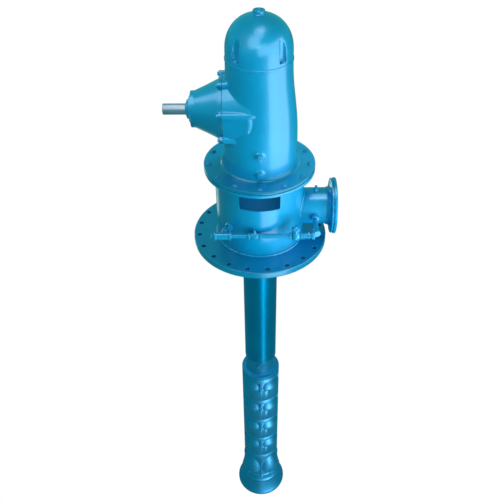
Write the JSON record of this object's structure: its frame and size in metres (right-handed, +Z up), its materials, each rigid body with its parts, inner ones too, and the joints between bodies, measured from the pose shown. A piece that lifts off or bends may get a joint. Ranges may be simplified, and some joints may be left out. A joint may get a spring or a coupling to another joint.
{
  "type": "vertical turbine centrifugal pump",
  "caption": "Vertical turbine water pump: right-angle gear drive on a flanged discharge head with bypass piping, over a column pipe, lobed bowls and a suction bell.",
  "frame": {"origin": "on the underside of the base flange, at the front of its bolt circle, between two holes", "axes": "+Z up along the pump's axis, which stands 365 mm towards +Y from the origin; discharge along +X, input shaft along -X, bypass piping at the front, -Y"},
  "size_m": [0.9535, 0.796, 4.077],
  "materials": {
    "blue_enamel": "glossy enamel",
    "shaft_steel": "ground",
    "bronze": "machined casting"
  },
  "bodies": {
    "frame": {"base_flange": "blue_enamel", "head_barrel": "blue_enamel", "head_deck": "blue_enamel", "head_top_flange": "blue_enamel", "stuffing_box": "blue_enamel", "packing_gland": "bronze", "discharge_pipe": "blue_enamel", "discharge_flange": "blue_enamel", "pressure_tap_plug": "blue_enamel", "gear_housing": "blue_enamel", "gear_cover": "blue_enamel", "cover_vent_plug": "blue_enamel", "oil_drain_plug": "blue_enamel", "oil_level_plug": "blue_enamel", "pinion_cartridge": "blue_enamel", "input_seal_cap": "blue_enamel", "column_flange": "blue_enamel", "column_pipe": "blue_enamel", "discharge_bowl": "blue_enamel", "bowl_1": "blue_enamel", "bowl_2": "blue_enamel", "bowl_3": "blue_enamel", "bowl_4": "blue_enamel", "suction_bell": "blue_enamel", "bell_bearing_cap": "blue_enamel", "branch_boss": "blue_enamel", "branch_nipple": "blue_enamel", "bypass_elbow": "blue_enamel", "bypass_union": "blue_enamel", "bypass_valve": "blue_enamel", "bypass_pipe_right": "blue_enamel", "bypass_cock": "blue_enamel", "bypass_pipe_left": "blue_enamel", "bypass_tee": "blue_enamel", "tee_plug": "blue_enamel", "tee_nipple": "blue_enamel", "barrel_boss": "blue_enamel"},
    "input": {"input_shaft": "shaft_steel"},
    "rotor": {"line_shaft": "shaft_steel", "head_shaft": "shaft_steel", "shaft_coupling": "shaft_steel", "impeller_1": "bronze", "impeller_2": "bronze", "impeller_3": "bronze", "impeller_4": "bronze"}
  },
  "joints": [
    {"name": "pump_shaft_spin", "type": "hinge", "parent": "frame", "child": "rotor", "pos_m": [0, 0.365, 0.4], "axis": [0, 0, 1], "continuous": true},
    {"name": "input_shaft_spin", "type": "hinge", "parent": "frame", "child": "input", "pos_m": [-0.4, 0.365, 0.853], "axis": [1, 0, 0], "continuous": true}
  ],
  "couplings": [
    {"joint": "input_shaft_spin", "follows": "pump_shaft_spin", "ratio": -1}
  ]
}
